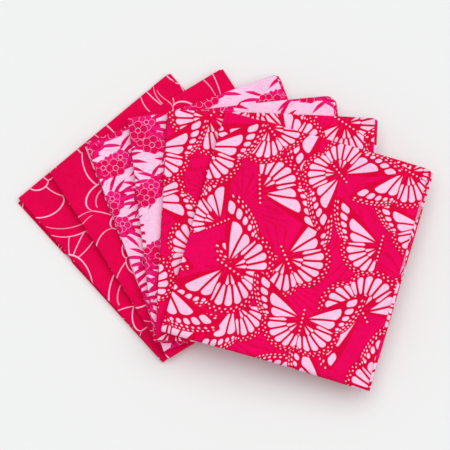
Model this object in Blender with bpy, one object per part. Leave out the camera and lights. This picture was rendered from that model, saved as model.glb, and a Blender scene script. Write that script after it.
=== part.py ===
"""A bundle of six folded cotton cloths, laid on each other and fanned about their near left corners.

Each cloth is folded in four across and then in three, as a letter is, so its solid is one strip of
four plies pressed together, folded into three layers. It lies with its free end underneath, so the
edges that show at the near and the far side are folds. Metres, +Z up, standing on z = 0, with the
origin under the middle of the whole fan. A packet's own frame has x along its far edge, y along
its side and its near left corner at (0, 0).
"""

import math
from collections import namedtuple

import bmesh
import bpy

MM = 0.001

# Driving dimensions
LAYER = 1.1 * MM  # four plies of cotton, pressed
LAYER_GAP = 0.3 * MM  # air between two layers of one packet
PACKET_GAP = 0.45 * MM  # air between two packets
SHOULDER = 20 * MM  # how far past a packet's edge the cloths above it still lie level
DROOP = 130 * MM  # over how much further they sink by that packet's height
INNER_TUCK = 6 * MM  # how far the hidden end stays back from the near fold
LIFT = 1.5 * MM  # how far the top cloth's near left corner stands off
LIFT_REACH = 34 * MM

# Mesh density
CELLS_ACROSS = 11
CELLS_ALONG = 12
CELLS_BACK_FOLD = 4
CELLS_NEAR_FOLD = 6
CROWDING = 1.25  # above 1, the cells along a packet are shorter near the near edge, where it bends most

LAYER_PITCH = LAYER + LAYER_GAP
PACKET_HEIGHT = 3 * LAYER + 2 * LAYER_GAP
PACKET_PITCH = PACKET_HEIGHT + PACKET_GAP
BACK_RADIUS = LAYER_PITCH / 2 + LAYER / 2
NEAR_RADIUS = LAYER_PITCH + LAYER / 2

# One row for each packet, from the surface up, in millimetres and degrees:
# x, y      near left corner in the fan
# turn      turn of the packet, anticlockwise
# wide, deep    size of the folded packet
# lean      how far the lowest layer comes out sideways at the far edge
# back_l, back_r    how far the free end stays back from the far fold, left and right; past it if below 0
# askew     how much deeper the packet is on its right side than on its left
# soft      radius of the slack far right corner
# colour    base colour of its print, linear
Packet = namedtuple("Packet", "name x y turn wide deep lean back_l back_r askew soft colour")

CRIMSON = (0.72, 0.004, 0.075, 1.0)
PALE_PINK = (0.80, 0.40, 0.62, 1.0)
RED = (0.76, 0.006, 0.045, 1.0)

PACKETS = (
    Packet("fat_quarter_1", -39.8, -86.2, 40.8, 129.4, 144.4, -2.0, 1.2, 1.6, 0.0, 1.5, CRIMSON),
    Packet("fat_quarter_2", -36.6, -85.0, 31.9, 132.4, 146.7, 0.3, 1.4, 1.0, 0.0, 1.5, CRIMSON),
    Packet("fat_quarter_3", -39.2, -80.9, 20.3, 133.9, 148.4, -1.0, 1.0, 1.4, 0.0, 4.0, PALE_PINK),
    Packet("fat_quarter_4", -45.5, -76.0, 6.7, 135.3, 150.7, 1.0, 1.6, 1.0, 0.0, 6.0, PALE_PINK),
    Packet("fat_quarter_5", -44.7, -75.0, -2.9, 136.5, 154.2, -0.8, 1.0, 1.5, 2.2, 3.0, RED),
    Packet("fat_quarter_6", -41.1, -70.6, -15.9, 139.3, 152.4, 1.2, 1.0, -0.8, 0.0, 3.0, RED),
)

ROUGHNESS = 0.85


def remove_everything():
    for thing in list(bpy.data.objects):
        bpy.data.objects.remove(thing, do_unlink=True)


def blend(start, end, share):
    return start + (end - start) * share


def cloth_material(name, colour):
    material = bpy.data.materials.new(name)
    material.use_nodes = True
    shader = material.node_tree.nodes["Principled BSDF"]
    shader.inputs["Base Color"].default_value = colour
    shader.inputs["Roughness"].default_value = ROUGHNESS
    shader.inputs["Metallic"].default_value = 0.0
    return material


def to_packet(packet, x, y):
    """World x, y in the packet's own frame."""
    turn = math.radians(packet.turn)
    east = x - packet.x * MM
    north = y - packet.y * MM
    return (
        east * math.cos(turn) + north * math.sin(turn),
        north * math.cos(turn) - east * math.sin(turn),
    )


def to_world(packet, across, along):
    """A place in the packet's own frame, in world x, y."""
    turn = math.radians(packet.turn)
    return (
        packet.x * MM + across * math.cos(turn) - along * math.sin(turn),
        packet.y * MM + across * math.sin(turn) + along * math.cos(turn),
    )


def support(packet, x, y):
    """1 over the packet and its shoulder, then falling smoothly to 0 over DROOP."""
    across, along = to_packet(packet, x, y)
    past_side = max(-across, 0.0, across - packet.wide * MM)
    past_end = max(-along, 0.0, along - packet.deep * MM)
    past = math.hypot(past_side, past_end) - SHOULDER
    share = min(max(past / DROOP, 0.0), 1.0)
    return 0.5 + 0.5 * math.cos(math.pi * share)


def height_under(level, x, y):
    """Height of the underside of packet number level, over the packets below it."""
    return sum(PACKET_PITCH * support(below, x, y) for below in PACKETS[:level])


def strip_stations(packet):
    """Outer side of the folded strip, from its hidden end to its free end.

    Each station is (y at the left side, y at the right side, z, how far it takes part in the lean).
    """
    deep = packet.deep * MM
    near_turn = NEAR_RADIUS
    far_turn = deep - BACK_RADIUS
    stations = []
    for step in range(CELLS_ALONG):
        share = (step / CELLS_ALONG) ** CROWDING
        y = blend(near_turn + INNER_TUCK, far_turn, share)
        stations.append((y, y, LAYER_PITCH, 0.0))
    for step in range(CELLS_BACK_FOLD):
        angle = math.pi * step / CELLS_BACK_FOLD
        y = far_turn + BACK_RADIUS * math.sin(angle)
        stations.append((y, y, PACKET_HEIGHT - BACK_RADIUS * (1 + math.cos(angle)), 0.0))
    for step in range(CELLS_ALONG):
        share = (1 - step / CELLS_ALONG) ** CROWDING
        y = blend(near_turn, far_turn, share)
        stations.append((y, y, PACKET_HEIGHT, 0.0))
    for step in range(CELLS_NEAR_FOLD):
        angle = math.pi * step / CELLS_NEAR_FOLD
        y = near_turn - NEAR_RADIUS * math.sin(angle)
        stations.append((y, y, NEAR_RADIUS * (1 + math.cos(angle)), 0.0))
    for step in range(CELLS_ALONG + 1):
        share = (step / CELLS_ALONG) ** CROWDING
        left = blend(near_turn, deep - packet.back_l * MM, share)
        right = blend(near_turn, deep - packet.back_r * MM, share)
        stations.append((left, right, 0.0, share))
    return stations


def soften_corner(across, along, wide, deep, radius):
    """Draws the far right corner in to a round one. A layer that stands out past the corner still does."""
    u = (across - (wide - radius)) / radius
    v = (along - (deep - radius)) / radius
    if u <= 0 or v <= 0:
        return across, along
    past_side, past_end = max(u - 1, 0.0), max(v - 1, 0.0)
    u, v = min(u, 1.0), min(v, 1.0)
    return (
        wide - radius + radius * (u * math.sqrt(1 - v * v / 2) + past_side),
        deep - radius + radius * (v * math.sqrt(1 - u * u / 2) + past_end),
    )


def corner_lift(across, along):
    """How far the near left corner of the top cloth stands off the cloth under it."""
    away = math.hypot(across, along)
    return LIFT * max(0.0, 1 - away / LIFT_REACH) ** 2


def folded_strip(packet):
    """The packet in its own frame: a flat grid folded along its stations, then given its thickness."""
    stations = strip_stations(packet)
    rows = len(stations) - 1
    mesh = bmesh.new()
    bmesh.ops.create_grid(mesh, x_segments=CELLS_ACROSS, y_segments=rows, size=0.5)
    for vert in mesh.verts:
        share = vert.co.x + 0.5
        left, right, z, lean = stations[round((vert.co.y + 0.5) * rows)]
        vert.co.x = packet.wide * MM * share + packet.lean * MM * lean
        vert.co.y = blend(left, right, share)
        vert.co.z = z
    bmesh.ops.reverse_faces(mesh, faces=mesh.faces)  # the grid was folded with its back out
    mesh.normal_update()
    bmesh.ops.solidify(mesh, geom=mesh.faces, thickness=LAYER)
    return mesh


def skew(packet, across, along):
    """How much further along a place lies because the packet was folded out of square."""
    return packet.askew * MM * (across / (packet.wide * MM) - 0.5) * along / (packet.deep * MM)


def lay_on_the_fan(mesh, level):
    """Moves the folded strip to its place, sunk over the edges of the packets below it."""
    packet = PACKETS[level]
    is_top = level == len(PACKETS) - 1
    for vert in mesh.verts:
        across, along = soften_corner(
            vert.co.x, vert.co.y, packet.wide * MM, packet.deep * MM, packet.soft * MM
        )
        along += skew(packet, across, along)
        x, y = to_world(packet, across, along)
        z = vert.co.z + height_under(level, x, y)
        if is_top:
            z += corner_lift(across, along)
        vert.co = (x, y, z)


def make_packet(level):
    packet = PACKETS[level]
    shape = folded_strip(packet)
    lay_on_the_fan(shape, level)
    bmesh.ops.triangulate(shape, faces=shape.faces)
    bmesh.ops.recalc_face_normals(shape, faces=shape.faces)
    mesh = bpy.data.meshes.new(packet.name)
    shape.to_mesh(mesh)
    shape.free()
    mesh.shade_smooth()
    mesh.set_sharp_from_angle(angle=math.radians(40))
    mesh.materials.append(cloth_material(packet.name + "_cotton", packet.colour))
    cloth = bpy.data.objects.new(packet.name, mesh)
    bpy.context.scene.collection.objects.link(cloth)
    return cloth


def main():
    remove_everything()
    for level in range(len(PACKETS)):
        make_packet(level)


main()
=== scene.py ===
# %% [markdown]
# # A bundle of fat quarters, dressed for the camera
#
# A fat quarter is a short, wide cut of quilting cotton, about 18 by 21 inches. A shop folds it in four
# across, then in three as a letter is folded, and gets a flat packet a little over 130 mm wide. Six of
# these packets lie on each other, fanned about their near left corners: two in a crimson line print,
# two in a pale blossom print and two in a red wing print.
#
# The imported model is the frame. It gives each packet as one plain solid, in metres, standing on z = 0.
# This script lays a real folded sheet of cloth in the place of each solid.

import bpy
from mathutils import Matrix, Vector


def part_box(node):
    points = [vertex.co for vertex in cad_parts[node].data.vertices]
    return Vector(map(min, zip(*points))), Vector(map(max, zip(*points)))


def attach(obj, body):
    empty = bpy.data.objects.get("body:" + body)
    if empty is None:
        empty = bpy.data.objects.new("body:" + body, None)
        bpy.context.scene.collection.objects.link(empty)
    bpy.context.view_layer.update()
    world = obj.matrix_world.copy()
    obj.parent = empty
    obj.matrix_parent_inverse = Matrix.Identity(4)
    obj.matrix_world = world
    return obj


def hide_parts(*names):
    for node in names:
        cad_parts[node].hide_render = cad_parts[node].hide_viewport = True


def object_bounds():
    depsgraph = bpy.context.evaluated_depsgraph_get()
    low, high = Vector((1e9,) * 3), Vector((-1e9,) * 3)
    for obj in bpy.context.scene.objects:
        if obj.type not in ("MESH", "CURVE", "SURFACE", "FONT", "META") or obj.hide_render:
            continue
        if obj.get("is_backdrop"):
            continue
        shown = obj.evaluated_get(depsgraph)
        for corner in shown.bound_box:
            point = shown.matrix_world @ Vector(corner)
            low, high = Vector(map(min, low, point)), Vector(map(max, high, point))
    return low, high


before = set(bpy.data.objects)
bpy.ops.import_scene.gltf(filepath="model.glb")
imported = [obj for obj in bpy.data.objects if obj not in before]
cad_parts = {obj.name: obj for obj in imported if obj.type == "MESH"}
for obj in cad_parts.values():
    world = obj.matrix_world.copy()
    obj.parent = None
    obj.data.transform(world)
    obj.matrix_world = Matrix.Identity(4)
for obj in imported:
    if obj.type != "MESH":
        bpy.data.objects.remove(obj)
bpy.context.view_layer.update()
print("the frame holds", sorted(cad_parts))

# %% Modules and units
import math
from collections import namedtuple

import bmesh
import bpy
import numpy as np

MM = 0.001
scene = bpy.context.scene

# %% [markdown]
# ## The camera
#
# The picture was taken from high above the near edge with a long lens, so that the packets hardly grow
# smaller towards the far side. A camera could be placed by hand, but it is easier to aim: it stands at a
# distance from the spot in the middle of the picture, tilted down by its elevation, and looks at that spot.

# %% Place the camera
PICTURE_MIDDLE = (0.2 * MM, 5.8 * MM, 0.0)
CAMERA_DISTANCE = 3.92
CAMERA_ELEVATION = math.radians(76.1)
SENSOR = 36.0
FOCAL_LENGTH_IN_PICTURE_WIDTHS = 13.41
FAR_LIMIT = 20.0

camera_data = bpy.data.cameras.new("camera")
camera_data.sensor_width = SENSOR
camera_data.lens = SENSOR * FOCAL_LENGTH_IN_PICTURE_WIDTHS
camera_data.clip_end = FAR_LIMIT
camera = bpy.data.objects.new("camera", camera_data)
camera.location = (
    PICTURE_MIDDLE[0],
    PICTURE_MIDDLE[1] - CAMERA_DISTANCE * math.cos(CAMERA_ELEVATION),
    PICTURE_MIDDLE[2] + CAMERA_DISTANCE * math.sin(CAMERA_ELEVATION),
)
camera.rotation_euler = (math.pi / 2 - CAMERA_ELEVATION, 0.0, 0.0)
scene.collection.objects.link(camera)
scene.camera = camera
print("lens", round(camera_data.lens), "mm")

# %% [markdown]
# ## Light and floor
#
# The floor is white paper, and the light is a large soft one overhead, a little to the right of the far
# side. Its shadows are wide and faint: they show only where the stack is thick, along the near edge. A sun
# lamp with a wide angle does this evenly over the whole floor, and the world fills what the lamp leaves
# dark.

# %% Light the floor
FLOOR_SIZE = 12.0
FLOOR_COLOUR = (0.878, 0.885, 0.884, 1.0)
FLOOR_ROUGHNESS = 0.9
FILL_COLOUR = (0.985, 0.995, 0.985, 1.0)
FILL_STRENGTH = 0.42
KEY_STRENGTH = 1.93
KEY_SPREAD = math.radians(80)
KEY_ELEVATION = math.radians(74)
KEY_AZIMUTH = math.radians(55)

world = bpy.data.worlds.new("studio")
world.use_nodes = True
world.node_tree.nodes["Background"].inputs["Color"].default_value = FILL_COLOUR
world.node_tree.nodes["Background"].inputs["Strength"].default_value = FILL_STRENGTH
scene.world = world
scene.view_settings.view_transform = "Standard"

key_data = bpy.data.lights.new("soft_key", "SUN")
key_data.energy = KEY_STRENGTH
key_data.angle = KEY_SPREAD
key = bpy.data.objects.new("soft_key", key_data)
key.rotation_euler = (-(math.pi / 2 - KEY_ELEVATION), 0.0, -KEY_AZIMUTH)
scene.collection.objects.link(key)

floor_shape = bmesh.new()
bmesh.ops.create_grid(floor_shape, x_segments=1, y_segments=1, size=FLOOR_SIZE / 2)
floor_mesh = bpy.data.meshes.new("floor")
floor_shape.to_mesh(floor_mesh)
floor_shape.free()
floor = bpy.data.objects.new("floor", floor_mesh)
scene.collection.objects.link(floor)
paper = bpy.data.materials.new("white_paper")
paper.use_nodes = True
paper_shader = paper.node_tree.nodes["Principled BSDF"]
paper_shader.inputs["Base Color"].default_value = FLOOR_COLOUR
paper_shader.inputs["Roughness"].default_value = FLOOR_ROUGHNESS
floor_mesh.materials.append(paper)
floor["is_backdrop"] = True

# %% [markdown]
# ## The sizes of the packets
#
# The table repeats the sizes that the solids were made from, so that every sheet lands where its solid
# is. A row holds the near left corner and the turn of one packet in the fan, its folded size, how far
# its lowest layer leans out sideways, how far that layer's free end stays back from the far fold on the
# left and on the right (past it if below 0), how much deeper the packet is on its right side, and how
# round the slack far right corner is. All are in millimetres and degrees.

# %% The six packets, from the floor up
Packet = namedtuple("Packet", "name x y turn wide deep lean back_l back_r askew soft")

PACKETS = (
    Packet("fat_quarter_1", -39.8, -86.2, 40.8, 129.4, 144.4, -2.0, 1.2, 1.6, 0.0, 1.5),
    Packet("fat_quarter_2", -36.6, -85.0, 31.9, 132.4, 146.7, 0.3, 1.4, 1.0, 0.0, 1.5),
    Packet("fat_quarter_3", -39.2, -80.9, 20.3, 133.9, 148.4, -1.0, 1.0, 1.4, 0.0, 4.0),
    Packet("fat_quarter_4", -45.5, -76.0, 6.7, 135.3, 150.7, 1.0, 1.6, 1.0, 0.0, 6.0),
    Packet("fat_quarter_5", -44.7, -75.0, -2.9, 136.5, 154.2, -0.8, 1.0, 1.5, 2.2, 3.0),
    Packet("fat_quarter_6", -41.1, -70.6, -15.9, 139.3, 152.4, 1.2, 1.0, -0.8, 0.0, 3.0),
)
for packet in PACKETS:
    low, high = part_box(packet.name)
    print(packet.name, "fills", [round(size / MM) for size in high - low], "mm")

# %% [markdown]
# ## A folded line
#
# Seen from its end, folded cloth is a line of straight stretches and half turns. One rule can follow any
# such line: it takes a distance along the cloth and gives the place there, and which way the cloth's face
# points. Across the cloth there are four plies and three folds, the inner ones inside the outer one.
# Along it there are three layers and two folds, and each layer is the whole stack of four plies. The
# packet lies with its free end underneath, because its far side and its near side both show a clean fold.

# %% Follow a folded line
CLOTH = 0.24 * MM  # one ply of quilting cotton
LAYER = 1.1 * MM  # four plies, pressed
PLY_PITCH = LAYER / 4
LAYER_PITCH = 1.4 * MM
INNER_TUCK = 6 * MM  # how far the hidden end stays back from the near fold

Stretch = namedtuple("Stretch", "length turn")  # turn in radians, to the left if above 0


def straight(length):
    return Stretch(length, 0.0)


def half_turn(radius, side):
    return Stretch(math.pi * radius, math.pi * side)


def follow(start, heading, stretches, distance):
    """Places and left-hand normals, at these distances along a line that starts at a point."""
    place = np.zeros((len(distance), 2))
    normal = np.zeros((len(distance), 2))
    begun = -np.inf
    corner, passed = np.array(start, float), 0.0
    for length, turn in stretches:
        on = distance >= begun
        gone = distance[on] - passed
        if turn:
            radius = length / turn
            way = heading + gone / radius
            step = radius * np.stack([np.sin(way) - math.sin(heading), math.cos(heading) - np.cos(way)], 1)
        else:
            way = np.full(gone.shape, heading)
            step = gone[:, None] * np.array([math.cos(heading), math.sin(heading)])
        place[on] = corner + step
        normal[on] = np.stack([-np.sin(way), np.cos(way)], 1)
        if turn:
            end = heading + turn
            corner = corner + radius * np.array(
                [math.sin(end) - math.sin(heading), math.cos(heading) - math.cos(end)]
            )
            heading = end
        else:
            corner = corner + length * np.array([math.cos(heading), math.sin(heading)])
        passed += length
        begun = passed
    return place, normal


# %% The stretches of one packet
LEFT, RIGHT = 1, -1
INNER_FOLD = PLY_PITCH / 2
OUTER_FOLD = 1.5 * PLY_PITCH
LEFT_CENTRE = OUTER_FOLD + CLOTH / 2  # from the packet's left side to the middle of its folds
RIGHT_INSET = INNER_FOLD + CLOTH / 2
BACK_FOLD = LAYER_PITCH / 2
NEAR_FOLD = LAYER_PITCH
NEAR_TURN = NEAR_FOLD + LAYER / 2


def across(packet):
    """Plies and folds from the raw edge inside the packet to the one on top."""
    whole = packet.wide * MM - LEFT_CENTRE
    return (
        straight(whole),
        half_turn(INNER_FOLD, LEFT),
        straight(whole - RIGHT_INSET),
        half_turn(INNER_FOLD, RIGHT),
        straight(whole - RIGHT_INSET),
        half_turn(OUTER_FOLD, RIGHT),
        straight(whole),
    )


def along(packet):
    """Layers and folds from the hidden end, over the top, to the free end underneath."""
    far_turn = packet.deep * MM - BACK_FOLD - LAYER / 2
    return (
        straight(far_turn - NEAR_TURN - INNER_TUCK),
        half_turn(BACK_FOLD, LEFT),
        straight(far_turn - NEAR_TURN),
        half_turn(NEAR_FOLD, LEFT),
        straight(packet.deep * MM - NEAR_TURN),
    )


def total(stretches):
    return sum(stretch.length for stretch in stretches)


for packet in PACKETS:
    print(packet.name, "is cut", [round(total(way) / MM) for way in (across(packet), along(packet))], "mm")

# %% [markdown]
# ## The flat cloth
#
# Before it is folded the cloth is a flat grid. Its edges are cut with pinking shears, which leave a row
# of small teeth that can't fray far: every outside edge of the grid is parted once, and the new corner is
# pushed in. Then bisect scores the cloth where it will bend, so that a fold has its own lines of corners
# and needs no finer grid elsewhere. The cloth lies with its printed side down, ready to be folded.

# %% Cut and score a flat cloth
CELL = 3.3 * MM
TOOTH_DEPTH = 1.3 * MM
FOLD_STEPS = 4
SAME_PLACE = CLOTH / 50  # corners this near to a line count as on it


def score_lines(stretches):
    """Distances along the cloth at which it bends."""
    passed = 0.0
    for length, turn in stretches:
        if turn:
            for step in range(FOLD_STEPS + 1):
                yield passed + length * step / FOLD_STEPS
        passed += length


def cut_cloth(packet):
    """The flat cloth in its own plane, with one corner at the origin and pinked all round."""
    size = (total(across(packet)), total(along(packet)))
    shape = bmesh.new()
    bmesh.ops.create_grid(
        shape, x_segments=round(size[0] / CELL), y_segments=round(size[1] / CELL), size=0.5
    )
    bmesh.ops.translate(shape, verts=shape.verts, vec=(0.5, 0.5, 0.0))
    bmesh.ops.scale(shape, verts=shape.verts, vec=(size[0], size[1], 1.0))
    edges = [edge for edge in shape.edges if edge.is_boundary]
    old_corners = set(shape.verts)
    bmesh.ops.subdivide_edges(shape, edges=edges, cuts=1)
    for corner in set(shape.verts) - old_corners:
        for axis in range(2):
            if corner.co[axis] < SAME_PLACE:
                corner.co[axis] += TOOTH_DEPTH
            elif corner.co[axis] > size[axis] - SAME_PLACE:
                corner.co[axis] -= TOOTH_DEPTH
    for axis, stretches in enumerate((across(packet), along(packet))):
        for line in score_lines(stretches):
            spot = [0.0, 0.0, 0.0]
            spot[axis] = line
            facing = [0.0, 0.0, 0.0]
            facing[axis] = 1.0
            everything = shape.verts[:] + shape.edges[:] + shape.faces[:]
            bmesh.ops.bisect_plane(
                shape, geom=everything, dist=SAME_PLACE, plane_co=spot, plane_no=facing
            )
    bmesh.ops.reverse_faces(shape, faces=shape.faces)
    return shape


# %% [markdown]
# ## Folding it and laying it on the fan
#
# The fold rule is used twice. Across the cloth it gives the side to side place and how high a ply lies in
# its layer. Along the cloth it gives the place from near to far and the height, and the ply's height in
# the layer is added on the outer side of the line, so the plies turn round each other in the folds.
# The hand that folds isn't a machine: raw edges wander by a millimetre or two, and one ply peeps out
# beside the next. That is done by trimming the flat cloth, so the print on it isn't stretched.

# %% Trim, fold and lean
# A raw edge swings this far about where it should lie, in waves this long
RawEdge = namedtuple("RawEdge", "seed swing wave")

UNDER_EDGE = RawEdge(1, 0.3 * MM, 170 * MM)
TOP_EDGE = RawEdge(2, 0.25 * MM, 120 * MM)
FREE_END = RawEdge(3, 0.3 * MM, 110 * MM)
SEEDS_TO_A_PACKET = 10
UNDER_EDGE_BACK = 0.9 * MM  # how far it stays back from the right side
TOP_EDGE_BACK = 0.5 * MM
PLY_STEP = 0.4 * MM  # how far the plies are out of step at the free end
PLY_TURN = 2.1  # any number that gives each ply a step of its own
OCTAVES = 3
OCTAVE_RATIO = 1.9
SWING_RANGE = 1.84  # brings the sum of the octaves back to between -1 and 1

# Where the second ply looks out on the right side: millimetres from the near fold, half length, how far
PEEPS = {"fat_quarter_6": ((122, 8, 2.3), (86, 7, 1.9)), "fat_quarter_5": ((128, 8, 1.6),)}


def wander(distance, level, edge):
    """How far a raw edge swings out, at these distances along it."""
    draws = np.random.default_rng(SEEDS_TO_A_PACKET * level + edge.seed)
    swing = np.zeros(distance.shape)
    for octave in range(OCTAVES):
        wave = edge.wave / OCTAVE_RATIO**octave
        swing += np.sin(distance / wave * 2 * math.pi + draws.uniform(0, 2 * math.pi)) / (octave + 1)
    return edge.swing * (swing / SWING_RANGE)


def trim(packet, level, flat):
    """Moves the raw edges of the flat cloth to where a hand would have cut and laid them."""
    u, v = flat[:, 0].copy(), flat[:, 1].copy()
    wide = packet.wide * MM
    whole_u, whole_v = total(across(packet)), total(along(packet))
    from_near_fold = (total(along(packet)[:3]) + NEAR_TURN - v) / MM
    under_edge = np.clip(1 - u / wide, 0, 1)
    top_edge = np.clip((u - whole_u + wide) / wide, 0, 1)
    u += under_edge * (UNDER_EDGE_BACK + wander(v, level, UNDER_EDGE))
    for middle, long, far in PEEPS.get(packet.name, ()):
        u -= under_edge * far * MM * np.exp(-(((from_near_fold - middle) / long) ** 2))
    u -= top_edge * (TOP_EDGE_BACK - wander(v, level, TOP_EDGE))
    place, _ = follow((wide, 0.0), math.pi, across(packet), u)
    rightward = np.clip(place[:, 0] / wide, 0, 1)
    back = (packet.back_l + (packet.back_r - packet.back_l) * rightward) * MM
    ply = np.floor(u / wide)
    back += PLY_STEP * np.sin(ply * PLY_TURN + level)
    back += wander(u, level, FREE_END)
    lowest = along(packet)[-1].length
    v -= np.clip(1 - (whole_v - v) / lowest, 0, 1) * back
    return u, v


def fold(packet, u, v):
    """Places in the packet's own frame of points on the trimmed flat cloth."""
    wide = packet.wide * MM
    side_view, _ = follow((wide, INNER_FOLD), math.pi, across(packet), u)
    start = (NEAR_TURN + INNER_TUCK, LAYER / 2 + LAYER_PITCH)
    end_view, inwards = follow(start, 0.0, along(packet), v)
    x, ply_height = side_view[:, 0], side_view[:, 1]
    whole, lowest = total(along(packet)), along(packet)[-1].length
    x = x + packet.lean * MM * np.clip(1 - (whole - v) / lowest, 0, 1)
    y = end_view[:, 0] - ply_height * inwards[:, 0]
    z = end_view[:, 1] - ply_height * inwards[:, 1]
    return x, y, z


# %% [markdown]
# ## Sinking over the packets below
#
# A packet lies level over the one below it, and past that one's edge it sinks until it meets the next.
# Cloth simulation could settle this, but the plies are a quarter of a millimetre apart and would need
# steps far too small. The rule that shaped the solids does it better: under each spot of the fan lies the
# summed support of the packets below, full over them and fading to nothing a little way outside.

# %% Settle a packet on the fan
PACKET_PITCH = 4.35 * MM  # 3.9 mm of cloth and 0.45 mm of air
SHOULDER = 20 * MM  # how far past a packet's edge the cloths above it still lie level
DROOP = 130 * MM  # over how much further they sink by that packet's height
LIFT = 1.5 * MM  # how far the top cloth's near left corner stands off
LIFT_REACH = 34 * MM
SLACK = 0.025  # how much the stack's height varies from spot to spot
HILL_WAVES = (21 * MM, 27 * MM)
HILL_BEND = 0.6
HILL_START = 0.4
HOLLOW_WAVES = (31 * MM, 17 * MM)
HOLLOW_BEND = 0.8
HOLLOW_START = 1.9
HILL_SHARE = 0.6


def to_world(packet, x, y):
    turn = math.radians(packet.turn)
    east = packet.x * MM + x * math.cos(turn) - y * math.sin(turn)
    north = packet.y * MM + x * math.sin(turn) + y * math.cos(turn)
    return east, north


def support(packet, east, north):
    """1 over the packet and its shoulder, then falling smoothly to 0."""
    turn = math.radians(packet.turn)
    dx = east - packet.x * MM
    dy = north - packet.y * MM
    x = dx * math.cos(turn) + dy * math.sin(turn)
    y = dy * math.cos(turn) - dx * math.sin(turn)
    past_side = np.maximum(np.maximum(-x, x - packet.wide * MM), 0)
    past_end = np.maximum(np.maximum(-y, y - packet.deep * MM), 0)
    past = np.hypot(past_side, past_end) - SHOULDER
    return 0.5 + 0.5 * np.cos(math.pi * np.clip(past / DROOP, 0, 1))


def soften_corner(packet, x, y):
    """Draws the far right corner in to a round one. A layer that stands out past it still does."""
    radius = packet.soft * MM
    u = (x - packet.wide * MM + radius) / radius
    v = (y - packet.deep * MM + radius) / radius
    inside = (u > 0) & (v > 0)
    past_u, past_v = np.maximum(u - 1, 0), np.maximum(v - 1, 0)
    u, v = np.clip(u, 0, 1), np.clip(v, 0, 1)
    round_x = packet.wide * MM - radius + radius * (u * np.sqrt(1 - v * v / 2) + past_u)
    round_y = packet.deep * MM - radius + radius * (v * np.sqrt(1 - u * u / 2) + past_v)
    return np.where(inside, round_x, x), np.where(inside, round_y, y)


def slack(east, north):
    """Soft hills and hollows, the same for every packet, so that they stay nested."""
    hill_bend = HILL_BEND * np.sin(north / HILL_WAVES[1])
    hollow_bend = HOLLOW_BEND * np.sin(east / HOLLOW_WAVES[0])
    hills = np.sin(east / HILL_WAVES[0] + hill_bend + HILL_START)
    hollows = np.sin(north / HOLLOW_WAVES[1] - hollow_bend + HOLLOW_START)
    return 1 + SLACK * (HILL_SHARE * hills + (1 - HILL_SHARE) * hollows)


def settle(level, x, y, z):
    """World places of points given in the packet's own frame."""
    packet = PACKETS[level]
    x, y = soften_corner(packet, x, y)
    y = y + packet.askew * MM * (x / (packet.wide * MM) - 0.5) * y / (packet.deep * MM)
    east, north = to_world(packet, x, y)
    height = z + sum(PACKET_PITCH * support(below, east, north) for below in PACKETS[:level])
    height = height * slack(east, north)
    if level == len(PACKETS) - 1:
        height = height + LIFT * np.maximum(0, 1 - np.hypot(x, y) / LIFT_REACH) ** 2
    return np.stack([east, north, height], 1)


# %% [markdown]
# ## Drawing with arithmetic
#
# A print is a drawing, and a drawing can be a sum: how deep inside the petal does this spot lie? Shader
# nodes answer that anew for every spot of the cloth, so lines stay sharp however near the camera comes.
# A picture file would blur, and hundreds of nodes wired by hand are hard to read. So a small class wires
# them: ordinary arithmetic on it adds Math nodes to a tree.

# %% Arithmetic that adds nodes
SOFT_EDGE = 0.008  # how soft a printed edge is, in a drawing about 2 wide


class Number:
    """A number inside a node tree."""

    def __init__(self, socket):
        self.socket = socket

    def __add__(self, other):
        return math_node("ADD", self, other)

    def __sub__(self, other):
        return math_node("SUBTRACT", self, other)

    def __mul__(self, other):
        return math_node("MULTIPLY", self, other)

    def __truediv__(self, other):
        return math_node("DIVIDE", self, other)

    def __radd__(self, other):
        return math_node("ADD", other, self)

    def __rsub__(self, other):
        return math_node("SUBTRACT", other, self)

    def __rmul__(self, other):
        return math_node("MULTIPLY", other, self)


def wire(terms, sockets):
    """Links the numbers among the terms to these sockets, and sets the plain values."""
    for term, socket in zip(terms, sockets):
        if isinstance(term, Number):
            socket.id_data.links.new(term.socket, socket)
        else:
            socket.default_value = term


def tree_of(terms):
    return next(term.socket.id_data for term in terms if isinstance(term, Number))


def math_node(operation, *terms):
    node = tree_of(terms).nodes.new("ShaderNodeMath")
    node.operation = operation
    wire(terms, node.inputs)
    return Number(node.outputs[0])


def root(a):
    return math_node("SQRT", a)


def absolute(a):
    return math_node("ABSOLUTE", a)


def sine(a):
    return math_node("SINE", a)


def cosine(a):
    return math_node("COSINE", a)


def floor_of(a):
    return math_node("FLOOR", a)


def fraction(a):
    return math_node("FRACT", a)


def angle(y, x):
    return math_node("ARCTAN2", y, x)


def least(a, b):
    return math_node("MINIMUM", a, b)


def most(a, b):
    return math_node("MAXIMUM", a, b)


def soft_least(a, b, softness):
    return math_node("SMOOTH_MIN", a, b, softness)


def mix(a, b, share):
    return math_node("MULTIPLY_ADD", b - a, share, a)


def ink(depth, softness=SOFT_EDGE):
    """0 outside a shape, 1 inside it, with a soft step between."""
    node = tree_of([depth]).nodes.new("ShaderNodeMapRange")
    node.interpolation_type = "SMOOTHSTEP"
    wire([depth, 0.0, softness], node.inputs)
    return Number(node.outputs[0])


def line(depth, width):
    """A drawn line where the depth is 0."""
    return 1 - ink(absolute(depth) - width / 2)


# %% [markdown]
# ## Rubber stamps
#
# Block printers carve one stamp and press it again and again, turned each time. A node group is that
# stamp: it is drawn once, in places x and y of about -1 to 1, and pressed wherever it is needed. To strew
# the presses, the cloth is ruled in squares, and each square gets one motif at a random turn and a little
# off its middle. Several such rulings, each shifted against the last, lay motifs over each other, and a
# later one hides what it covers. Loose stamps could be placed from a list, but each would need its own
# nodes, while one ruling covers the whole cloth.

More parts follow.
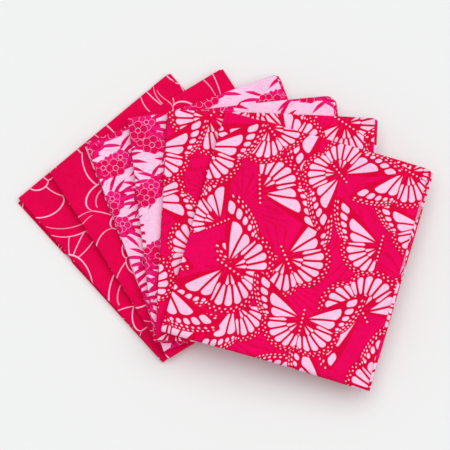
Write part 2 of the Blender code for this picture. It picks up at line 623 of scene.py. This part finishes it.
# %% Carve a stamp, press it and strew it
def carve(name, draw, parts):
    """A node group: x and y go in, and the parts of the drawing come out."""
    stamp = bpy.data.node_groups.new(name, "ShaderNodeTree")
    for place in ("x", "y"):
        stamp.interface.new_socket(place, in_out="INPUT", socket_type="NodeSocketFloat")
    for part in parts:
        stamp.interface.new_socket(part, in_out="OUTPUT", socket_type="NodeSocketFloat")
    way_in = stamp.nodes.new("NodeGroupInput")
    drawn = draw(Number(way_in.outputs["x"]), Number(way_in.outputs["y"]))
    way_out = stamp.nodes.new("NodeGroupOutput")
    wire(drawn, way_out.inputs)
    print("the stamp", name, "takes", len(stamp.nodes), "nodes")
    return stamp


def press(stamp, x, y):
    """The parts of a stamp, seen from a place on the cloth."""
    node = tree_of([x]).nodes.new("ShaderNodeGroup")
    node.node_tree = stamp
    wire([x, y], node.inputs)
    return [Number(part) for part in node.outputs]


def chances(column, row, seed):
    """Three random numbers from 0 to 1 for a square of the ruling."""
    tree = tree_of([column])
    square = tree.nodes.new("ShaderNodeCombineXYZ")
    wire([column, row, seed], square.inputs)
    noise = tree.nodes.new("ShaderNodeTexWhiteNoise")
    tree.links.new(square.outputs[0], noise.inputs["Vector"])
    parts = tree.nodes.new("ShaderNodeSeparateColor")
    tree.links.new(noise.outputs["Color"], parts.inputs[0])
    return [Number(part) for part in parts.outputs]


# spacing and size: the side of a square, and the unit of the drawing
# room, vary and spin: how far a motif strays, in squares, and how much its size and its turn vary
Strewing = namedtuple("Strewing", "spacing size rulings seed room vary spin")
FULL_TURN = 2 * math.pi
FOURTH_CHANCE = 13.7  # the fraction of the third chance times this is a chance of its own


def motif_view(place, strewing, shift, seed):
    """The place on the cloth as the motif in this square of the ruling sees it."""
    ruled = [way / strewing.spacing + by for way, by in zip(place, shift)]
    squares = [floor_of(way) for way in ruled]
    random = chances(*squares, seed)
    shrink = 1 + (fraction(random[2] * FOURTH_CHANCE) - 0.5) * strewing.vary
    unit = strewing.spacing / strewing.size
    x, y = (
        (way - square - 0.5 - (chance - 0.5) * strewing.room) * shrink * unit
        for way, square, chance in zip(ruled, squares, random)
    )
    turn = (random[2] - 0.5) * strewing.spin
    right, up = cosine(turn), sine(turn)
    return x * right + y * up, y * right - x * up


def strewn(place, strewing):
    """The place on the cloth as the motifs of each ruling see it, the lowest ruling first."""
    count = strewing.rulings
    row_step = 2 if count > 3 else 1  # a step of two keeps the motifs of many rulings out of line
    for number in range(count):
        shift = (number / count, number * row_step / count % 1)
        yield motif_view(place, strewing, shift, strewing.seed + number)


# %% [markdown]
# ## The wing print
#
# The two top cloths carry butterflies that lie over each other at every angle. A wing is a fan of cells
# about its root, so the natural places on it are how far out a spot lies and how far round the fan.
# Each wing has an inner ring of cells and an outer one, with veins left between them, and two rows of
# dots follow the margin. A butterfly at rest folds its wings together, so some show one pair only.
# These proportions are made up for this print, from butterflies in general.

# %% Draw a butterfly
Wing = namedtuple("Wing", "root low high rim bend rings dots")
Ring = namedtuple("Ring", "cells first last start end bow")  # start and end: a length, a share of the rim

FOREWING = Wing(
    root=(0.02, 0.02),
    low=-8,
    high=46,
    rim=(0.60, 0.30, 0.20),
    bend=0.16,
    rings=(
        Ring(2, 0.03, 0.84, (0.03, 0.0), (0.10, 0.55), 0.2),
        Ring(5, 0.10, 0.97, (0.14, 0.55), (0.0, 0.85), 0.12),
    ),
    dots=((13, 0.0, 0.036, 0.016), (10, 0.5, 0.085, 0.020)),
)
HINDWING = Wing(
    root=(0.01, -0.02),
    low=-100,
    high=2,
    rim=(0.46, 0.50, -0.36),
    bend=-0.18,
    rings=(
        Ring(2, 0.34, 0.78, (0.03, 0.0), (0.23, 0.0), 0.14),
        Ring(6, 0.03, 0.98, (0.22, 0.0), (0.0, 0.82), 0.16),
    ),
    dots=((13, 0.0, 0.034, 0.014), (13, 0.5, 0.074, 0.016)),
)
VEIN = 0.026
WING_RIM = 0.02
CELL_ROUNDING = 0.04
MIDDLE_ROUNDING = 0.05
WING_ROUNDING = 0.2
BODY = (0.05, 0.24)  # half its width and half its length
BODY_MIDDLE = -0.02
BODY_SOFTNESS = 0.3
BODY_SPOTS = 15  # spots to a unit of length
BODY_SPOT = 0.017
STREAKS = 40  # how closely fine streaks follow each other round the fan
STREAK_BENDS = (9, 7)
STREAK_GAP = 0.2
STREAK_SOFTNESS = 0.7
REST_SHIFT = 0.3  # brings the middle of one pair of wings to the middle of the motif


def dot_row(arc, fan, number, phase, away, radius):
    """Depth inside the nearest dot of a row, this far away from the row."""
    beside = (fraction(fan * number + phase) - 0.5) * arc * (1 / number)
    return radius - root(beside * beside + away * away)


def ring_of_cells(ring, fan, out, arc, rim):
    """Depth inside a ring of cells, from one place in the fan to another."""
    width = (ring.last - ring.first) / ring.cells
    beside = absolute(fraction((fan - ring.first) * (1 / width)) - 0.5)
    sides = least((0.5 - beside) * width, least(fan - ring.first, ring.last - fan)) * arc - VEIN / 2
    bow = beside * beside * ring.bow
    start, end = (share * rim + length for length, share in (ring.start, ring.end))
    return soft_least(sides, least(end - bow - out, out - start - bow), CELL_ROUNDING)


def wing(shape, x, y):
    """Depth inside a wing that points to the right, depth inside its pale parts, and how far round."""
    dx = x - shape.root[0]
    dy = y - shape.root[1]
    out = root(dx * dx + dy * dy)
    low = math.radians(shape.low)
    spread = math.radians(shape.high) - low
    fan = (angle(dy, dx) + out * shape.bend - low) * (1 / spread)
    rim = shape.rim[0] + fan * (shape.rim[1] + fan * shape.rim[2])
    arc = out * spread
    margin = rim - out
    between_sides = soft_least(arc * fan, arc * (1 - fan), MIDDLE_ROUNDING)
    inside = soft_least(between_sides, margin, WING_ROUNDING)
    pale = most(*(ring_of_cells(ring, fan, out, arc, rim) for ring in shape.rings))
    for number, phase, away, radius in shape.dots:
        pale = most(pale, dot_row(arc, fan, number, phase, margin - away, radius))
    return inside, least(pale, inside - WING_RIM), fan


def wings(side, y):
    """Where they cover the cloth, their pale parts, and fine streaks across them."""
    fore_inside, fore_pale, fore_fan = wing(FOREWING, side, y)
    hind_inside, hind_pale, hind_fan = wing(HINDWING, side, y)
    on_fore = ink(fore_inside)
    pale = mix(ink(hind_pale), ink(fore_pale), on_fore)
    body_x = side * (1 / BODY[0])
    body_y = (y - BODY_MIDDLE) * (1 / BODY[1])
    on_body = ink(1 - body_x * body_x - body_y * body_y, BODY_SOFTNESS)
    covered = most(on_fore, ink(hind_inside))
    spots = ink(dot_row(1.0, y, BODY_SPOTS, 0.0, side, BODY_SPOT))
    pale = mix(pale * covered, spots, on_body)
    fan = mix(hind_fan, fore_fan, on_fore)
    bend = sine(side * STREAK_BENDS[0] + y * STREAK_BENDS[1])
    streaks = ink(sine(fan * STREAKS + bend) - STREAK_GAP, STREAK_SOFTNESS)
    return most(covered, on_body), pale, streaks


def open_butterfly(x, y):
    return wings(absolute(x), y)


def resting_butterfly(x, y):
    return wings(x + REST_SHIFT, y)


WING_PARTS = ("covers", "pale", "streaks")
open_stamp = carve("open_butterfly", open_butterfly, WING_PARTS)
resting_stamp = carve("resting_butterfly", resting_butterfly, WING_PARTS)

# %% [markdown]
# ## The line print
#
# The two bottom cloths are crimson, with large open flowers drawn in a thin pale line. A rose seen from
# above is rings of petals, each ring with fewer and smaller petals and turned against the last. A petal
# ring is a circle that dips where two petals meet, and a seam runs inwards from each dip.

# %% Draw a rose and a spray of leaves
PetalRing = namedtuple("PetalRing", "petals radius start twist")

ROSE = (PetalRing(3, 0.24, 0.2, 1.6), PetalRing(4, 0.58, 1.5, 1.1), PetalRing(5, 1.0, 0.3, 0.9))
PETAL_DIP = 0.26  # how far the rim dips between two petals, as a share of the radius
ROSE_HEART = 0.06
RIM_LINE = 0.005
FINE_LINE = 0.003
STEM_LINE = 0.004
FOLD_INSET = 0.11  # a line inside the outer rim, where a petal's edge curls over
FOLD_WAVES = 3
FOLD_SWING = 0.05
FOLD_GAP = 0.06
FOLD_FADE = 0.7
COVER_PAST = 0.01  # how far past its outline a drawing hides what lies below
STEM_WAVE = 2.2
STEM_SWING = 0.12
LEAF_MIDDLE = 0.52
LEAF_HALF = (0.40, 0.17)  # half its length and half its width


def petal_ring(out, round_it, ring):
    """Distance outside a ring of petals, and distance from the seams between them."""
    lobe = absolute(sine((round_it + out * ring.twist + ring.start) * (ring.petals / 2)))
    rim = (1 - PETAL_DIP + root(lobe) * PETAL_DIP) * ring.radius
    return out - rim, lobe * out * (2 / ring.petals)


def rose(x, y):
    """Where it covers the cloth, and its lines."""
    out = root(x * x + y * y)
    round_it = angle(y, x)
    inner = out - ROSE_HEART
    drawn = 0.0
    for ring in ROSE:
        outside, seam = petal_ring(out, round_it, ring)
        lines = most(line(outside, RIM_LINE), line(seam, FINE_LINE) * ink(0 - outside))
        drawn = most(drawn, lines * ink(inner))
        inner = outside
    swing = sine(round_it * FOLD_WAVES + 1) * FOLD_SWING
    fold_line = line(outside + FOLD_INSET + swing, FINE_LINE) * ink(seam - FOLD_GAP)
    return ink(COVER_PAST - outside), most(drawn, fold_line * FOLD_FADE)


def spray(x, y):
    """Where two leaves on a bent stem cover the cloth, and their lines."""
    away = absolute(y - sine(x * STEM_WAVE) * STEM_SWING)
    stem = line(away, STEM_LINE) * ink(1 - absolute(x))
    along_leaf = (absolute(x) - LEAF_MIDDLE) * (1 / LEAF_HALF[0])
    leaf = (1 - along_leaf * along_leaf) * LEAF_HALF[1] - away
    lines = line(leaf, FINE_LINE) * ink(1 - absolute(along_leaf))
    return ink(leaf + COVER_PAST), most(lines, stem)


rose_stamp = carve("rose", rose, ("covers", "lines"))
spray_stamp = carve("spray", spray, ("covers", "lines"))

# %% [markdown]
# ## The blossom print
#
# The two middle cloths are pale, with low bushes in crimson and magenta. A bush has a streaky body, three
# round flowers outlined in pale, and a spread of thin pointed leaves of uneven length at either side. The
# bushes nearly all lie one way, as growing things do.

# %% Draw a flowering bush
Flower = namedtuple("Flower", "x y size turn")

FLOWERS = (Flower(-0.30, -0.08, 0.26, 0.3), Flower(0.30, -0.12, 0.26, 1.1), Flower(0.02, 0.10, 0.30, 2.0))
BRIGHT_FLOWER = FLOWERS[1]
FLOWER_PETALS = 5
FLOWER_HEART = 0.26  # as a share of the flower's size
FLOWER_LINE = 0.004
FLOWER_LINE_INSET = 0.006
FLOWER_SEAM = 0.002
LEAVES = 5
LEAF_SPREAD = math.radians(84)
LEAF_WIDTH = 0.060
LEAF_AWAY = (0.66, 0.14)  # from the bush's middle to a leaf's, and how much more by chance
LEAF_REACH = (0.32, 0.08)  # half its length, and how much more by chance
LEAF_WAVES = 3
LEAF_SWING = 0.3
LEAF_CHANCE = (12.99, 7.3, 4.1, 43.7)  # any uneven numbers do: they scatter the leaves' lengths
BUSH_ROUND = (2.2, 9)  # 1 over the square of its half width and of its half height
BUSH_LUMPS = 13
LUMP_SIZE = 0.07
BUSH_STREAKS = 21
BUSH_STREAK_BENDS = 7
BUSH_STREAK_SWING = 2


def flower(x, y, shape):
    """Depth inside a flower, how far the seams between its petals are, and depth in its heart."""
    dx = x - shape.x
    dy = y - shape.y
    out = root(dx * dx + dy * dy)
    lobe = absolute(sine(angle(dy, dx) * (FLOWER_PETALS / 2) + shape.turn))
    rim = (1 - PETAL_DIP) * shape.size + lobe * (PETAL_DIP * shape.size)
    return rim - out, lobe * out, shape.size * FLOWER_HEART - out


def bush(x, y):
    """Where it covers the cloth, its bright parts, and its pale lines."""
    out = root(x * x + y * y)
    round_it = angle(y, absolute(x))
    fan = round_it * (LEAVES / LEAF_SPREAD) + sine(out * LEAF_WAVES) * LEAF_SWING
    leaf_number = floor_of(fan + 0.5)
    by_leaf, by_side, start, scatter = LEAF_CHANCE
    chance = fraction(sine(leaf_number * by_leaf + ink(x) * by_side + start) * scatter)
    away = LEAF_AWAY[0] + chance * LEAF_AWAY[1]
    reach = LEAF_REACH[0] + chance * LEAF_REACH[1]
    along_leaf = (out - away) / reach
    beside = absolute(fan - leaf_number) * out * (LEAF_SPREAD / LEAVES)
    leaf = (1 - along_leaf * along_leaf) * LEAF_WIDTH - beside
    leaf = least(leaf, LEAF_SPREAD / 2 - absolute(round_it))
    lumps = sine(round_it * BUSH_LUMPS) * LUMP_SIZE
    body = 1 - root(x * x * BUSH_ROUND[0] + y * y * BUSH_ROUND[1]) + lumps
    covers = most(ink(leaf), ink(body))
    bend = sine(x * BUSH_STREAK_BENDS) * BUSH_STREAK_SWING
    bright = covers * ink(sine(y * BUSH_STREAKS + bend + leaf_number) + 0.1, 0.1)
    pale = 0.0
    for shape in FLOWERS:
        petals, seam, heart = flower(x, y, shape)
        on_it = ink(petals)
        seams = (1 - ink(seam - FLOWER_SEAM)) * ink(0 - heart)
        rim_line = line(petals - FLOWER_LINE_INSET, FLOWER_LINE)
        lines = most(most(rim_line, line(heart, FINE_LINE)), seams)
        bright = bright * (1 - on_it)
        if shape == BRIGHT_FLOWER:
            bright = bright + on_it * ink(0 - heart)
        pale = mix(pale, lines, on_it)
        covers = most(covers, on_it)
    return covers, bright, pale


bush_stamp = carve("bush", bush, ("covers", "bright", "lines"))


# %% [markdown]
# ## Printing the cloth
#
# Each print is a node group of its own, from a place on the flat cloth to a colour. Colours are wet ink
# that sank into the cotton, so a print has only two or three, and pale parts are where the dyed ground
# was left free. The cloth is read in metres from its UV map, so every motif has its real size.

# %% The three prints
RED = (0.74, 0.0012, 0.047)
MAGENTA = (0.86, 0.0015, 0.110)
CRIMSON = (0.79, 0.0010, 0.074)
ROSE_RED = (0.77, 0.0030, 0.098)
BRIGHT_PINK = (0.86, 0.0100, 0.190)
PINK = (0.97, 0.585, 0.815)

SHADOW_WINGS = Strewing(92 * MM, 46 * MM, 3, 50, 0.12, 0.0, FULL_TURN)
BUTTERFLIES = Strewing(94 * MM, 43 * MM, 5, 0, 0.12, 0.25, FULL_TURN)
SPRAYS = Strewing(124 * MM, 50 * MM, 2, 20, 0.12, 0.0, FULL_TURN)
ROSES = Strewing(136 * MM, 54 * MM, 2, 30, 0.12, 0.0, FULL_TURN)
BUSHES = Strewing(58 * MM, 22 * MM, 5, 40, 0.35, 0.0, 0.9)
AT_REST = (1, 3)  # the rulings whose butterflies hold their wings together
SHADOW_DEPTH = 0.65
SWAY_ACROSS = (17 * MM, 4 * MM)  # the wavelength over a full turn, and how far the lines sway
SWAY_ALONG = (21 * MM, 5 * MM)


def coloured(colours, shares):
    """One colour over the next: each share says how much of its colour covers those before."""
    tree = tree_of(shares)
    below = (*colours[0], 1.0)
    for colour, share in zip(colours[1:], shares):
        node = tree.nodes.new("ShaderNodeMix")
        node.data_type = "RGBA"
        tree.links.new(share.socket, node.inputs["Factor"])
        ends = [socket for socket in node.inputs if socket.type == "RGBA"]
        if isinstance(below, tuple):
            ends[0].default_value = below
        else:
            tree.links.new(below, ends[0])
        ends[1].default_value = (*colour, 1.0)
        below = next(socket for socket in node.outputs if socket.type == "RGBA")
    return below


def wing_print(u, v):
    magenta, pale = 1.0, 0.0
    for x, y in strewn((u, v), SHADOW_WINGS):
        covers, _, streaks = press(open_stamp, x, y)
        magenta = mix(magenta, 1 - streaks * SHADOW_DEPTH, covers)
    for number, (x, y) in enumerate(strewn((u, v), BUTTERFLIES)):
        stamp = resting_stamp if number in AT_REST else open_stamp
        covers, cells, _ = press(stamp, x, y)
        bare = 1 - covers
        magenta = magenta * bare
        pale = pale * bare + cells
    return coloured((RED, MAGENTA, PINK), (magenta, pale))


def line_print(u, v):
    swayed = (
        u + sine(v * (1 / SWAY_ACROSS[0])) * SWAY_ACROSS[1],
        v + sine(u * (1 / SWAY_ALONG[0])) * SWAY_ALONG[1],
    )
    pale = 0.0
    for stamp, strewing in ((spray_stamp, SPRAYS), (rose_stamp, ROSES)):
        for x, y in strewn(swayed, strewing):
            covers, lines = press(stamp, x, y)
            pale = pale * (1 - covers) + lines
    return coloured((CRIMSON, PINK), (pale,))


def blossom_print(u, v):
    bare, bright, pale = 1.0, 0.0, 0.0
    for x, y in strewn((u, v), BUSHES):
        covers, petals, lines = press(bush_stamp, x, y)
        free = 1 - covers
        bare = bare * free
        bright = bright * free + petals
        pale = pale * free + lines
    return coloured((ROSE_RED, BRIGHT_PINK, PINK, PINK), (bright, pale, bare))


def print_group(name, draw):
    """A node group from a place on the flat cloth to the print's colour there."""
    group = bpy.data.node_groups.new(name, "ShaderNodeTree")
    for place in ("u", "v"):
        group.interface.new_socket(place, in_out="INPUT", socket_type="NodeSocketFloat")
    group.interface.new_socket("Color", in_out="OUTPUT", socket_type="NodeSocketColor")
    way_in = group.nodes.new("NodeGroupInput")
    colour = draw(Number(way_in.outputs["u"]), Number(way_in.outputs["v"]))
    way_out = group.nodes.new("NodeGroupOutput")
    group.links.new(colour, way_out.inputs["Color"])
    print("the print", name, "takes", len(group.nodes), "nodes and its stamps")
    return group


PRINTS = {
    "crimson_line_print": print_group("crimson_line_print", line_print),
    "pink_blossom_print": print_group("pink_blossom_print", blossom_print),
    "red_wing_print": print_group("red_wing_print", wing_print),
}

# %% [markdown]
# ## Cotton
#
# Quilting cotton is a plain weave of about 27 threads to the centimetre. Each thread is a little hill that
# dives under the next one, and no two are equally thick, which leaves fine streaks along and across the
# cloth. The dye took a little unevenly too, in patches a thumb wide. The hills go into the bump, and into
# the colour as painted shade, lighter on the thread tops and darker in the gaps; the streaks and patches
# go into the colour. Threads of real geometry would look the same from here, and each cloth would need
# more than two thousand. The print sits on the face alone: on the reverse it shows through weakly, and a
# cut edge is a mix of dyed and bare thread ends.

# %% Weave and materials
THREAD_PITCH = 0.37 * MM
THREAD_HEIGHT = 0.05 * MM
# painted shade: the top of a thread is painted this much lighter than the gap beside it
THREAD_SHADE = 0.12  # how much lighter the top of a thread is than the gap beside it
THREAD_MIDDLE = 0.6
NOISE_DETAIL = 1.0
STREAK_SIZE = (0.6 * MM, 6 * MM)
STREAKINESS = 0.65
WEFT_START = 7.0  # where the streaks of the weft begin in the noise, away from those of the warp
DYE_PATCH = 20 * MM
DYE_UNEVENNESS = 0.22
BUMP_STRENGTH = 0.6
ROUGHNESS = 0.9
SPECULAR = 0.03
SHEEN = 0.05
SHEEN_ROUGHNESS = 0.5
SHEEN_TINT = (1.0, 0.55, 0.72, 1.0)


def noise(x, y):
    """Smooth random hills from 0 to 1, about one to each unit."""
    tree = tree_of([x])
    spot = tree.nodes.new("ShaderNodeCombineXYZ")
    wire([x, y, 0.0], spot.inputs)
    node = tree.nodes.new("ShaderNodeTexNoise")
    node.inputs["Scale"].default_value = 1.0
    node.inputs["Detail"].default_value = NOISE_DETAIL
    tree.links.new(spot.outputs[0], node.inputs["Vector"])
    return Number(node.outputs[0])


def weave_group():
    """From a place on the flat cloth to the height of the weave, and to how light the thread is painted
    there: painted weave shade, thread streaks and dye patches.
    """
    group = bpy.data.node_groups.new("plain_weave", "ShaderNodeTree")
    for place in ("u", "v"):
        group.interface.new_socket(place, in_out="INPUT", socket_type="NodeSocketFloat")
    for part in ("height", "light"):
        group.interface.new_socket(part, in_out="OUTPUT", socket_type="NodeSocketFloat")
    way_in = group.nodes.new("NodeGroupInput")
    u, v = Number(way_in.outputs["u"]), Number(way_in.outputs["v"])
    warp = u * (1 / THREAD_PITCH)
    weft = v * (1 / THREAD_PITCH)
    warp_hill = sine(fraction(warp) * math.pi)
    weft_hill = sine(fraction(weft) * math.pi)
    warp_on_top = absolute(fraction((floor_of(warp) + floor_of(weft)) * 0.5) * 2)
    height = mix(weft_hill, warp_hill, warp_on_top)
    wide, long = STREAK_SIZE
    warp_streaks = noise(u * (1 / wide), v * (1 / long))
    weft_streaks = noise(u * (1 / long) + WEFT_START, v * (1 / wide))
    streaks = mix(weft_streaks, warp_streaks, 0.5)
    patches = noise(u * (1 / DYE_PATCH), v * (1 / DYE_PATCH))
    # painted shade: darker in the low gaps of the weave, lighter on the thread tops; the streaks and
    # patches are the cloth's own uneven tone
    light = (height - THREAD_MIDDLE) * THREAD_SHADE + (streaks - 0.5) * STREAKINESS
    light = light + (patches - 0.5) * DYE_UNEVENNESS + 1
    way_out = group.nodes.new("NodeGroupOutput")
    wire([height, light], way_out.inputs)
    return group


plain_weave = weave_group()


def cotton(name, print_name, bare):
    """A cotton with its print: bare is the share of undyed thread that shows."""
    material = bpy.data.materials.new(name)
    material.use_nodes = True
    tree = material.node_tree
    shader = tree.nodes["Principled BSDF"]
    on_cloth = tree.nodes.new("ShaderNodeUVMap")
    on_cloth.uv_map = "flat_cloth"
    place = tree.nodes.new("ShaderNodeSeparateXYZ")
    tree.links.new(on_cloth.outputs[0], place.inputs[0])
    u, v = Number(place.outputs[0]), Number(place.outputs[1])
    printed = tree.nodes.new("ShaderNodeGroup")
    printed.node_tree = PRINTS[print_name]
    wire([u, v], printed.inputs)
    height, light = press(plain_weave, u, v)
    faded = tree.nodes.new("ShaderNodeMix")
    faded.data_type = "RGBA"
    faded.inputs["Factor"].default_value = bare
    ends = [socket for socket in faded.inputs if socket.type == "RGBA"]
    tree.links.new(printed.outputs[0], ends[0])
    ends[1].default_value = (*PINK, 1.0)
    faded_colour = next(socket for socket in faded.outputs if socket.type == "RGBA")
    # the print's colour is scaled by the weave's painted shade, the thread streaks and the dye patches
    lit = tree.nodes.new("ShaderNodeVectorMath")
    lit.operation = "SCALE"
    tree.links.new(faded_colour, lit.inputs[0])
    tree.links.new(light.socket, lit.inputs["Scale"])
    tree.links.new(lit.outputs[0], shader.inputs["Base Color"])
    bump = tree.nodes.new("ShaderNodeBump")
    bump.inputs["Strength"].default_value = BUMP_STRENGTH
    bump.inputs["Distance"].default_value = THREAD_HEIGHT
    tree.links.new(height.socket, bump.inputs["Height"])
    tree.links.new(bump.outputs[0], shader.inputs["Normal"])
    shader.inputs["Roughness"].default_value = ROUGHNESS
    shader.inputs["Specular IOR Level"].default_value = SPECULAR
    shader.inputs["Sheen Weight"].default_value = SHEEN
    shader.inputs["Sheen Roughness"].default_value = SHEEN_ROUGHNESS
    shader.inputs["Sheen Tint"].default_value = SHEEN_TINT
    return material


# %% [markdown]
# ## One sheet of cloth
#
# The places on the flat cloth become a UV map before the cloth is folded, so the print runs on over the
# folds as it does on real cloth. Each cloth was cut elsewhere on the bolt, so its map starts elsewhere on
# the print. The folded face has no thickness yet. Solidify gives it one, half to each side, and gives the
# reverse and the cut edge materials of their own.

# %% Make a folded sheet
BOLT_STEP = (0.27, 0.19)  # from one cloth's corner to the next one's, on the bolt


def fold_sheet(level):
    packet = PACKETS[level]
    shape = cut_cloth(packet)
    mesh = bpy.data.meshes.new(packet.name + "_cloth")
    shape.to_mesh(mesh)
    shape.free()
    flat = np.zeros(len(mesh.vertices) * 3)
    mesh.vertices.foreach_get("co", flat)
    flat = flat.reshape(-1, 3)
    u, v = trim(packet, level, flat)
    corners = np.zeros(len(mesh.loops), int)
    mesh.loops.foreach_get("vertex_index", corners)
    on_bolt = np.stack([u, v], 1) + np.array(BOLT_STEP) * level
    on_cloth = mesh.uv_layers.new(name="flat_cloth")
    on_cloth.uv.foreach_set("vector", on_bolt[corners].ravel())
    places = settle(level, *fold(packet, u, v))
    mesh.vertices.foreach_set("co", places.ravel())
    mesh.shade_smooth()
    cloth = bpy.data.objects.new(packet.name + "_cloth", mesh)
    scene.collection.objects.link(cloth)
    thickness = cloth.modifiers.new("thickness", "SOLIDIFY")
    thickness.thickness = CLOTH
    thickness.offset = 0.0
    thickness.material_offset = 1
    thickness.material_offset_rim = 2
    return cloth


# %% Lay the six sheets
SLOTS = ("crimson_line_print",) * 2 + ("pink_blossom_print",) * 2 + ("red_wing_print",) * 2
# The share of bare thread on the face, the reverse and the cut edge, in Solidify's order
BARE_SHARES = {"": 0.0, "_reverse": 0.4, "_edge": 0.1}
COTTONS = {
    slot: [cotton(slot + side, slot, bare) for side, bare in BARE_SHARES.items()] for slot in PRINTS
}
for level, (packet, slot) in enumerate(zip(PACKETS, SLOTS)):
    cloth = fold_sheet(level)
    for material in COTTONS[slot]:
        cloth.data.materials.append(material)
    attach(cloth, "root")
    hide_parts(packet.name)
    flat_size = (total(across(packet)), total(along(packet)))
    print(cloth.name, "has", len(cloth.data.polygons), "faces")

# %% Measure the bounds of the scene
low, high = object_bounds()
